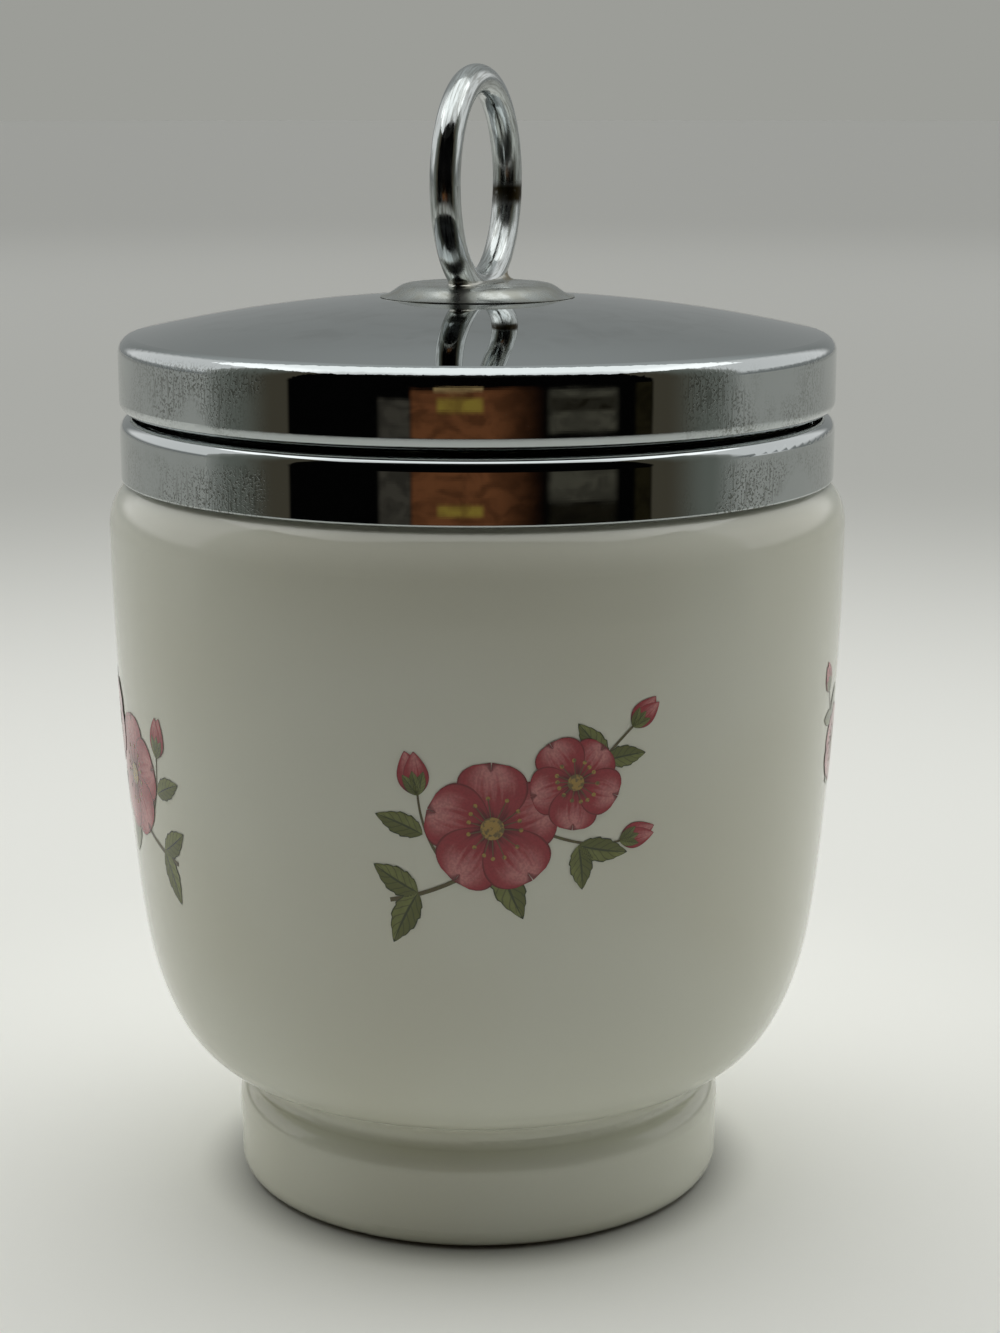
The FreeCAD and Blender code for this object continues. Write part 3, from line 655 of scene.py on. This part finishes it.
# Chromed wire: a bright mirror streaked along its length. The drawing lines are 0.05 mm apart and
# are drawn at 0.2 mm, so that they show. A brown smudge of old polish is left on the far side of
# the eye, a little below its middle.
chromed_wire, tree, shader = finish_of("chrome_plated_drawn_wire", Metallic=1.0)
place = add(tree, "TexCoord").outputs["Object"]
upright = add(tree, "VectorRotate", {
    "Vector": place, "Axis": (0, 0, 1), "Angle": math.radians(RING_TURN),
}, rotation_type="AXIS_ANGLE")
apart = add(tree, "SeparateXYZ", [upright])
x, y, z = (apart.outputs[axis] for axis in "XYZ")
rise = add(tree, "Math", [z, ring_middle * MM], operation="SUBTRACT")
spoke = distance(tree, y, rise)
past_middle = add(tree, "Math", [spoke, RING_RADIUS * MM], operation="SUBTRACT")
round_ring = add(tree, "Math", [rise, y], operation="ARCTAN2")
round_wire = add(tree, "Math", [x, past_middle], operation="ARCTAN2")
line_along = add(tree, "Math", [round_ring, RING_RADIUS / DRAW_LINE_LENGTH], operation="MULTIPLY")
line_across = add(tree, "Math", [round_wire, WIRE_RADIUS / DRAW_LINE], operation="MULTIPLY")
line_deep = add(tree, "Math", [spoke, grain(DRAW_LINE_DRIFT)], operation="MULTIPLY")
drawn = add(tree, "CombineXYZ", [line_along, line_across, line_deep])
draw_lines = add(tree, "TexNoise", {
    "Vector": drawn, "Scale": 1.0, "Detail": 3.0, "Roughness": 0.6})
below_middle = add(tree, "Math", [rise, SMUDGE_DROP * MM], operation="ADD")
off_smudge = add(tree, "Math", [below_middle], operation="ABSOLUTE")
smudge_tall = add(tree, "MapRange", [
    off_smudge, SMUDGE_CORE * MM, SMUDGE_REACH * MM, 1, 0], **SMOOTH)
smudge_far = add(tree, "MapRange", [y, SMUDGE_FROM * MM, SMUDGE_FULL * MM, 0, 1], **SMOOTH)
blots = add(tree, "TexNoise", {"Vector": place, "Scale": grain(SMUDGE_GRAIN), "Detail": 3})
blotted = add(tree, "MapRange", [blots, 0.3, 0.5, 0.6, 1], **SMOOTH)
inner_half = add(tree, "MapRange", [spoke, SMUDGE_IN * MM, SMUDGE_OUT * MM, 1, 0], **SMOOTH)
smudge = add(tree, "Math", [smudge_tall, smudge_far], operation="MULTIPLY")
smudge = add(tree, "Math", [smudge, blotted], operation="MULTIPLY")
smudge = add(tree, "Math", [smudge, inner_half], operation="MULTIPLY")
lined = add(tree, "MapRange", [draw_lines, 0.42, 0.66, 0, 0.75], **SMOOTH)
streaked = add(tree, "Mix", {0: lined, 6: srgb(WIRE_BRIGHT), 7: srgb(WIRE_LINE)}, **COLOURS)
colour = add(tree, "Mix", {0: smudge, 6: streaked, 7: srgb(POLISH_BROWN)}, **COLOURS)
cloud = add(tree, "TexNoise", {"Vector": place, "Scale": grain(WIRE_RUB), "Detail": 3})
rub = add(tree, "MapRange", [cloud, 0.38, 0.66, 0, 1], **SMOOTH)
far_wear = add(tree, "MapRange", [y, WEAR_FROM * MM, WEAR_FULL * MM, 0, 1], **SMOOTH)
wear = add(tree, "Math", [rub, far_wear], operation="ADD")
line_haze = add(tree, "MapRange", [draw_lines, 0.35, 0.65, 0.05, 0.17], **SMOOTH)
wear_haze = add(tree, "Math", [wear, 0.09], operation="MULTIPLY")
haze = add(tree, "Math", [line_haze, wear_haze], operation="ADD")
smudge_haze = add(tree, "Math", [smudge, 0.2], operation="MULTIPLY")
roughness = add(tree, "Math", [haze, smudge_haze], operation="ADD")
grooves = add(tree, "Bump", {"Height": draw_lines, "Distance": DRAW_LINE_DEPTH * MM})
feed(shader, {"Base Color": colour, "Roughness": roughness, "Normal": grooves})
dress("lift_ring", chromed_wire)

# The disc's upper side, read from its mesh: its radii and how far it lies below its flat there.
FLAT_RADIUS, SWEEP_DEPTH = 6, 1.1
disc_spots = np.array([v.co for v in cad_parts["finial_disc"].data.vertices]) / MM
disc_reach = np.hypot(disc_spots[:, 0], disc_spots[:, 1])
on_sweep = (disc_reach > FLAT_RADIUS) & (disc_spots[:, 2] > disc_top - SWEEP_DEPTH)
sweep_reach, first = np.unique(disc_reach[on_sweep].round(2), return_index=True)
sweep_drop = disc_top - disc_spots[on_sweep, 2][first]

FILLET_AROUND, FILLET_UP = 160, 10
FILLET_NEAR_RADIUS, FILLET_FAR_GROWTH, FILLET_SINK = 0.34, 0.4, 0.03


def bevel_drop(radius):
    """How far the disc's swept edge lies below its flat at this radius."""
    return float(np.interp(radius, sweep_reach, sweep_drop, left=0.0))


def braze_fillet():
    """The concave fillet that a ball leaves when it rolls round the ring's foot. The ball grows
    towards the far end, where the fillet is fuller."""
    turn = math.radians(RING_TURN)
    points, faces = [], []
    for i in range(FILLET_AROUND):
        side, share = 1, 2 * i / FILLET_AROUND
        if share >= 1:
            side, share = -1, share - 1
        far = 0.5 + 0.5 * side * math.sin(math.pi * share)
        ball_radius = FILLET_NEAR_RADIUS + FILLET_FAR_GROWTH * far * far * (3 - 2 * far)
        down = disc_top + ball_radius - ring_middle
        track = WIRE_RADIUS + ball_radius
        psi = math.acos((-down - RING_RADIUS) / track) * (2 * share - 1) * side
        ring_distance = RING_RADIUS + track * math.cos(psi)
        p = math.sqrt(max(0.0, ring_distance ** 2 - down ** 2)) * side
        ball = Vector((p, track * math.sin(psi), down))
        wire = Vector((p, 0, down)) * (RING_RADIUS / ring_distance)
        to_wire = (wire - ball).normalized()
        for j in range(FILLET_UP):
            k = j / (FILLET_UP - 1)
            sink = FILLET_SINK if j in (0, FILLET_UP - 1) else 0
            spot = ball + Vector((0, 0, -1)).slerp(to_wire, k) * (ball_radius + sink)
            z = spot.z + ring_middle - bevel_drop(math.hypot(spot.x, spot.y)) * (1 - k) ** 2
            points.append(((spot.x * math.sin(turn) + spot.y * math.cos(turn)) * MM,
                           (spot.x * math.cos(turn) - spot.y * math.sin(turn)) * MM, z * MM))
    for i in range(FILLET_AROUND):
        for j in range(FILLET_UP - 1):
            a, b = i * FILLET_UP + j, (i + 1) % FILLET_AROUND * FILLET_UP + j
            faces.append((a, a + 1, b + 1, b))
    mesh = bpy.data.meshes.new("ring_braze_fillet")
    mesh.from_pydata(points, [], faces)
    mesh.polygons.foreach_set("use_smooth", [True] * len(faces))
    piece = bpy.data.objects.new("ring_braze_fillet", mesh)
    bpy.context.scene.collection.objects.link(piece)
    return piece


BRAZE_PLATED = "#A9ABA5"
BRAZE_STAIN = "#80765A"
STAIN_WIDTH, STAIN_FROM, STAIN_FULL = 1.6, 0.5, 4.5
BRAZE_LUMP, BRAZE_LUMP_DEPTH = 0.7, 0.02

# Plated silver braze: a satin grey lump, brown and duller where the plating wore thin at the far
# end.
braze, tree, shader = finish_of("plated_silver_braze", Metallic=1.0)
place = add(tree, "TexCoord").outputs["Object"]
y = add(tree, "SeparateXYZ", [place]).outputs["Y"]
far_end = add(tree, "MapRange", [y, STAIN_FROM * MM, STAIN_FULL * MM, 0.25, 1], **SMOOTH)
cloud = add(tree, "TexNoise", {"Vector": place, "Scale": grain(STAIN_WIDTH), "Detail": 3})
blotches = add(tree, "MapRange", [cloud, 0.35, 0.6, 0, 1], **SMOOTH)
thin = add(tree, "Math", [blotches, far_end], operation="MULTIPLY")
colour = add(tree, "Mix", {0: thin, 6: srgb(BRAZE_PLATED), 7: srgb(BRAZE_STAIN)}, **COLOURS)
roughness = add(tree, "MapRange", [thin, 0, 1, 0.2, 0.36], **SMOOTH)
lumps = add(tree, "TexNoise", {"Vector": place, "Scale": grain(BRAZE_LUMP), "Detail": 3})
cast = add(tree, "Bump", {"Height": lumps, "Distance": BRAZE_LUMP_DEPTH * MM})
feed(shader, {"Base Color": colour, "Roughness": roughness, "Normal": cast})
fillet = braze_fillet()
fillet.data.materials.append(braze)
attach(fillet, "lid")
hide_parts("ring_braze")
dress("ring_braze", braze)


# ---------------------------------------------------------------------------------------------
# Rivet and washer. Soft nickel-plated brass: the rivet comes down through disc and lid and is
# clenched over a stamped washer under the lid.

HAMMER_DARK = "#8F8A7C"
HAMMER_BRIGHT = "#BAB5A8"
HAMMER_MARK, HAMMER_DEPTH = 0.9, 0.03

# Clenched nickel-plated brass: hammer marks under 1 mm wide give it a dimpled, uneven sheen.
nickel_fastener, tree, shader = finish_of("clenched_nickel_plated_brass", Metallic=1.0)
place = add(tree, "TexCoord").outputs["Object"]
hammered = add(tree, "TexNoise", {"Vector": place, "Scale": grain(HAMMER_MARK), "Detail": 3})
colour = add(tree, "Mix", {
    0: hammered, 6: srgb(HAMMER_DARK), 7: srgb(HAMMER_BRIGHT)}, **COLOURS)
sheen = add(tree, "MapRange", [hammered, 0.3, 0.7, 0.38, 0.22], **SMOOTH)
dimples = add(tree, "Bump", {"Height": hammered, "Distance": HAMMER_DEPTH * MM})
feed(shader, {"Base Color": colour, "Roughness": sheen, "Normal": dimples})
dress("finial_rivet", nickel_fastener)
dress("rivet_washer", nickel_fastener)


# ---------------------------------------------------------------------------------------------
# Stage. A plain pale floor runs away to the horizon, painted greyer where the light falls off
# behind.
# A dark curved screen with patches of colour stands in front, for the bright metal to mirror.

def stage_mesh(name, points, faces, material):
    """A piece of the stage, which is no part of the object."""
    mesh = bpy.data.meshes.new(name)
    mesh.from_pydata(points, [], faces)
    mesh.materials.append(material)
    mesh.polygons.foreach_set("use_smooth", [True] * len(faces))
    piece = bpy.data.objects.new(name, mesh)
    bpy.context.scene.collection.objects.link(piece)
    return piece


FLOOR_PALE = "#E6E7E1"
FLOOR_LIT_POOL = "#F1F2EC"
FLOOR_FAR = "#C1C2BC"
FALLOFF_GREY = "#B6B7B1"
FOOT_SHADOW_GREY = "#5E5F5A"
FLOOR_RINGS = [0.0, 0.05, 0.1, 0.2, 0.4, 0.8, 1.6, 4.0, 12.0]
FLOOR_SECTORS = 96
PAPER_FIBRE, PAPER_DEPTH = 0.8, 0.01
SHADE_FROM, SHADE_TO = 0.0220, 0.0300

# Floor paper: matt and nearly white, with tones that change with the distance from the cup, in
# metres. They are painted light and shade: paler close round the cup, greyer further out where the
# light falls off, and a painted shadow round the foot that is darkest at its edge.
floor_paper, tree, shader = finish_of("pale_floor_paper", IOR=1.45, Roughness=0.75)
place = add(tree, "TexCoord").outputs["Object"]
apart = add(tree, "SeparateXYZ", [place])
away = distance(tree, apart.outputs["X"], apart.outputs["Y"])
# Painted falloff: the floor is painted greyer from about 0.14 m out, where the light falls off.
grey_starts = add(tree, "MapRange", [away, 0.14, 0.52, 0, 1], **SMOOTH)
grey_ends = add(tree, "MapRange", [away, 0.3, 1.8, 1, 0], **SMOOTH)
painted_falloff = add(tree, "Math", [grey_starts, grey_ends], operation="MULTIPLY")
# Painted light: a paler pool is painted on the floor close round the cup.
painted_pool = add(tree, "MapRange", [away, 0.05, 0.11, 1, 0], **SMOOTH)
far = add(tree, "MapRange", [away, 0.5, 2.2, 0, 1], **SMOOTH)
# Painted shadow: the floor is painted darker round the foot's edge.
painted_foot_shadow = add(tree, "MapRange", [away, SHADE_FROM, SHADE_TO, 0.6, 0], **SMOOTH)
tone = add(tree, "Mix", {0: painted_pool, 6: srgb(FLOOR_PALE), 7: srgb(FLOOR_LIT_POOL)}, **COLOURS)
tone = add(tree, "Mix", {0: far, 6: tone, 7: srgb(FLOOR_FAR)}, **COLOURS)
tone = add(tree, "Mix", {0: painted_falloff, 6: tone, 7: srgb(FALLOFF_GREY)}, **COLOURS)
tone = add(tree, "Mix", {0: painted_foot_shadow, 6: tone, 7: srgb(FOOT_SHADOW_GREY)}, **COLOURS)
fibres = add(tree, "TexNoise", {"Vector": place, "Scale": grain(PAPER_FIBRE)})
tooth = add(tree, "Bump", {"Height": fibres, "Distance": PAPER_DEPTH * MM})
feed(shader, {"Base Color": tone, "Normal": tooth})

turns = [k * math.tau / FLOOR_SECTORS for k in range(FLOOR_SECTORS)]
points = [(r * math.cos(a), r * math.sin(a), 0) for r in FLOOR_RINGS for a in turns]
faces = []
for i in range(len(FLOOR_RINGS) - 1):
    for k in range(FLOOR_SECTORS):
        here, after = i * FLOOR_SECTORS + k, i * FLOOR_SECTORS + (k + 1) % FLOOR_SECTORS
        faces.append((here, after, after + FLOOR_SECTORS, here + FLOOR_SECTORS))
stage_mesh("floor", points, faces, floor_paper)

SCREEN_RADIUS, SCREEN_HEIGHT, SCREEN_SPAN, SCREEN_TURN = 0.30, 0.38, 88, 2.0
SCREEN_CLOTH = "#050505"
SCREEN_BLACK = "#020202"
SCREEN_UMBER = "#504B3F"
SCREEN_GREY = "#72766F"
SCREEN_PALE = "#A0A29D"
TAUPE = "#47433B"
RUSSET = "#75482C"
OCHRE = "#957F36"
SAND = "#A98F62"
MOLE_GREY = "#504D42"
NEAR_BLACK = "#1D1A12"
DARK_UMBER = "#211D10"
FOLD_DEGREES, FOLD_HEIGHT = 8, 3

# Screen cloth: matt, and lit from within, so that the metal mirrors the same tones whatever light
# falls on it. It is black in the middle, which lies 2 degrees to the left, paler to both sides, and
# fades out at its ends and hem.
screen_cloth, tree, shader = finish_of(
    "dark_screen_cloth", Base_Color=srgb(SCREEN_CLOTH), Roughness=0.9, Specular_IOR_Level=0.0,
    Emission_Strength=1.0)
place = add(tree, "TexCoord").outputs["Object"]
apart = add(tree, "SeparateXYZ", [place])
level = apart.outputs["Z"]
front = add(tree, "Math", [apart.outputs["Y"], -1.0], operation="MULTIPLY")
bearing = add(tree, "Math", [apart.outputs["X"], front], operation="ARCTAN2")
bearing = add(tree, "Math", [bearing, 180 / math.pi], operation="MULTIPLY")


def band(value, low, high, soft):
    """1 between two values of something on the screen, with soft edges."""
    enters = add(tree, "MapRange", [value, low - soft, low + soft, 0, 1], **SMOOTH)
    leaves = add(tree, "MapRange", [value, high - soft, high + soft, 1, 0], **SMOOTH)
    return add(tree, "Math", [enters, leaves], operation="MULTIPLY")


def patch(left, right, low, high, soft_degrees=1.0, soft_mm=0.6):
    """1 inside a patch of the screen, from its bearings in degrees and heights in millimetres."""
    wide = band(bearing, left, right, soft_degrees)
    tall = band(level, low * MM, high * MM, soft_mm * MM)
    return add(tree, "Math", [wide, tall], operation="MULTIPLY")


# Folds 8 degrees wide and 3 mm tall: a round collar squeezes what it mirrors ten times more
# sideways.
fold_across = add(tree, "Math", [bearing, 1 / FOLD_DEGREES], operation="MULTIPLY")
fold_up = add(tree, "Math", [level, grain(FOLD_HEIGHT)], operation="MULTIPLY")
fold_place = add(tree, "CombineXYZ", [fold_across, fold_up])
creases = add(tree, "TexNoise", {
    "Vector": fold_place, "Scale": 1.0, "Detail": 3.0, "Distortion": 0.7})
folds = add(tree, "MapRange", [creases, 0.36, 0.62, 0.55, 1], **SMOOTH)

side = add(tree, "Math", [bearing, SCREEN_TURN], operation="ADD")
side = add(tree, "Math", [side], operation="ABSOLUTE")
tone = srgb(SCREEN_BLACK)
for start, end, paler in ((53.5, 55, SCREEN_UMBER), (59, 75, SCREEN_GREY), (75, 87, SCREEN_PALE)):
    share = add(tree, "MapRange", [side, start, end, 0, 1], **SMOOTH)
    tone = add(tree, "Mix", {0: share, 6: tone, 7: srgb(paler)}, **COLOURS)
russet_fade = add(tree, "MapRange", [bearing, 2, 21, 1, 0], **SMOOTH)
russet = add(tree, "Math", [patch(-18.5, 24, 20, 55), russet_fade], operation="MULTIPLY")
for colour, spot in (
    (TAUPE, patch(-28, -18.7, 28, 53)),
    (RUSSET, russet),
    (OCHRE, patch(-11, 2, 50.4, 53.4)),
    (OCHRE, patch(-11, 2, 30.8, 32.8)),
    (SAND, patch(-12, 2, 54.9, 55.7, soft_degrees=0.6, soft_mm=0.15)),
    (SAND, patch(-12, 2, 39.9, 40.7, soft_degrees=0.6, soft_mm=0.15)),
    (MOLE_GREY, patch(21, 41, 46, 55, soft_degrees=1.5)),
    (MOLE_GREY, patch(21, 41, 33.5, 40, soft_degrees=1.5)),
    (NEAR_BLACK, patch(21, 41, 50.4, 53.4, soft_degrees=1.5)),
    (NEAR_BLACK, patch(21, 41, 28, 33, soft_degrees=1.5)),
    (DARK_UMBER, patch(47, 52, 28, 56)),
):
    folded = add(tree, "Math", [spot, folds], operation="MULTIPLY")
    tone = add(tree, "Mix", {0: folded, 6: tone, 7: srgb(colour)}, **COLOURS)
ends = add(tree, "MapRange", [side, 83, 89, 1, 0], **SMOOTH)
hem = add(tree, "MapRange", [level, 0.0, 0.02, 0.4, 1], **SMOOTH)
solid = add(tree, "Math", [ends, hem], operation="MULTIPLY")
feed(shader, {"Emission Color": tone, "Alpha": solid})

columns = [math.radians(a) for a in range(-SCREEN_SPAN, SCREEN_SPAN + 1, 2)]
points = [(SCREEN_RADIUS * math.sin(a), -SCREEN_RADIUS * math.cos(a), z)
          for z in (0.0, SCREEN_HEIGHT) for a in columns]
faces = [(k, k + 1, len(columns) + k + 1, len(columns) + k) for k in range(len(columns) - 1)]
screen = stage_mesh("dark_screen", points, faces, screen_cloth)
screen.visible_camera = False

# World: plain white light for the object, a little less of it from the camera's side. The metal
# mirrors a grey wall that is dark in front, with a window at each side, and the camera sees the
# wall at the far end.
WALL_GREY = "#929594"
WALL_HIGH = "#C4C8C8"
FRONT_DARK = "#1C1C1A"
FAR_WALL = "#9C9D98"
ROOM_FRONT = "#7C7C7A"
WHITE = "#FFFFFF"
ROOM_STRENGTH = 0.84
world = bpy.data.worlds.new("studio")
bpy.context.scene.world = world
world.use_nodes = True
tree = world.node_tree
tree.nodes.clear()
direction = add(tree, "TexCoord").outputs["Generated"]
apart = add(tree, "SeparateXYZ", [direction])
rise, back = apart.outputs["Z"], apart.outputs["Y"]
sideways = add(tree, "Math", [apart.outputs["X"]], operation="ABSOLUTE")
high = add(tree, "MapRange", [rise, 0.3, 0.8, 0, 1], **SMOOTH)
wall_tone = add(tree, "Mix", {0: high, 6: srgb(WALL_GREY), 7: srgb(WALL_HIGH)}, **COLOURS)
to_sides = add(tree, "MapRange", [sideways, 0.42, 0.6, 0, 1], **SMOOTH)
off_floor = add(tree, "MapRange", [rise, 0.03, 0.15, 0, 1], **SMOOTH)
windows = add(tree, "Math", [to_sides, off_floor], operation="MULTIPLY")
windowed = add(tree, "Mix", {0: windows, 6: wall_tone, 7: srgb(WHITE)}, **COLOURS)
to_front = add(tree, "MapRange", [back, -0.05, -0.35, 0, 1], **SMOOTH)
under_top = add(tree, "MapRange", [rise, 0.98, 0.85, 0, 1], **SMOOTH)
in_front = add(tree, "Math", [to_front, under_top], operation="MULTIPLY")
mirrored = add(tree, "Mix", {0: in_front, 6: windowed, 7: srgb(FRONT_DARK)}, **COLOURS)
to_back = add(tree, "MapRange", [back, -0.7, 0.3, 0, 1], **SMOOTH)
room = add(tree, "Mix", {0: to_back, 6: srgb(ROOM_FRONT), 7: srgb(WHITE)}, **COLOURS)
rays = add(tree, "LightPath")
is_camera, is_glossy, is_transmitted = (
    rays.outputs[f"Is {kind} Ray"] for kind in ("Camera", "Glossy", "Transmission"))
is_sharp = add(tree, "Math", [is_glossy, is_transmitted], operation="MAXIMUM")
is_seen = add(tree, "Math", [is_camera, is_sharp], operation="MAXIMUM")
lighting = add(tree, "Background", {"Color": room, "Strength": ROOM_STRENGTH})
mirror_wall = add(tree, "Background", {"Color": mirrored, "Strength": 1.0})
far_wall = add(tree, "Background", {"Color": srgb(FAR_WALL), "Strength": 1.0})
studio = add(tree, "MixShader", [is_seen, lighting, mirror_wall])
studio = add(tree, "MixShader", [is_camera, studio, far_wall])
add(tree, "OutputWorld", {"Surface": studio})

# Soft overhead light: one wide diffuser straight above, which draws the bright line along each
# shoulder. Metres and watts.
SOFTBOX_WIDTH, SOFTBOX_DEPTH, SOFTBOX_POWER = 1.4, 0.7, 3.6
SOFTBOX_PLACE = (0, -0.02, 0.72)
softbox = bpy.data.lights.new("overhead_softbox", "AREA")
softbox.shape = "RECTANGLE"
softbox.size, softbox.size_y = SOFTBOX_WIDTH, SOFTBOX_DEPTH
softbox.energy = SOFTBOX_POWER
overhead = bpy.data.objects.new("overhead_softbox", softbox)
overhead.location = SOFTBOX_PLACE
bpy.context.scene.collection.objects.link(overhead)

# Camera: at the viewing height of a seated person, looking a little down. Metres, degrees and
# millimetres of lens and film.
CAMERA_PLACE, CAMERA_TILT = (0.0022, -0.2575, 0.10825), 77.7
LENS, FILM_WIDTH = 70.62, 36
NEAREST, FARTHEST = 0.01, 50
camera_data = bpy.data.cameras.new("camera")
camera_data.lens = LENS
camera_data.sensor_width = FILM_WIDTH
camera_data.clip_start, camera_data.clip_end = NEAREST, FARTHEST
camera = bpy.data.objects.new("camera", camera_data)
camera.location = CAMERA_PLACE
camera.rotation_euler = (math.radians(CAMERA_TILT), 0, 0)
bpy.context.scene.collection.objects.link(camera)
bpy.context.scene.camera = camera

scene = bpy.context.scene
scene.view_settings.view_transform = "Standard"
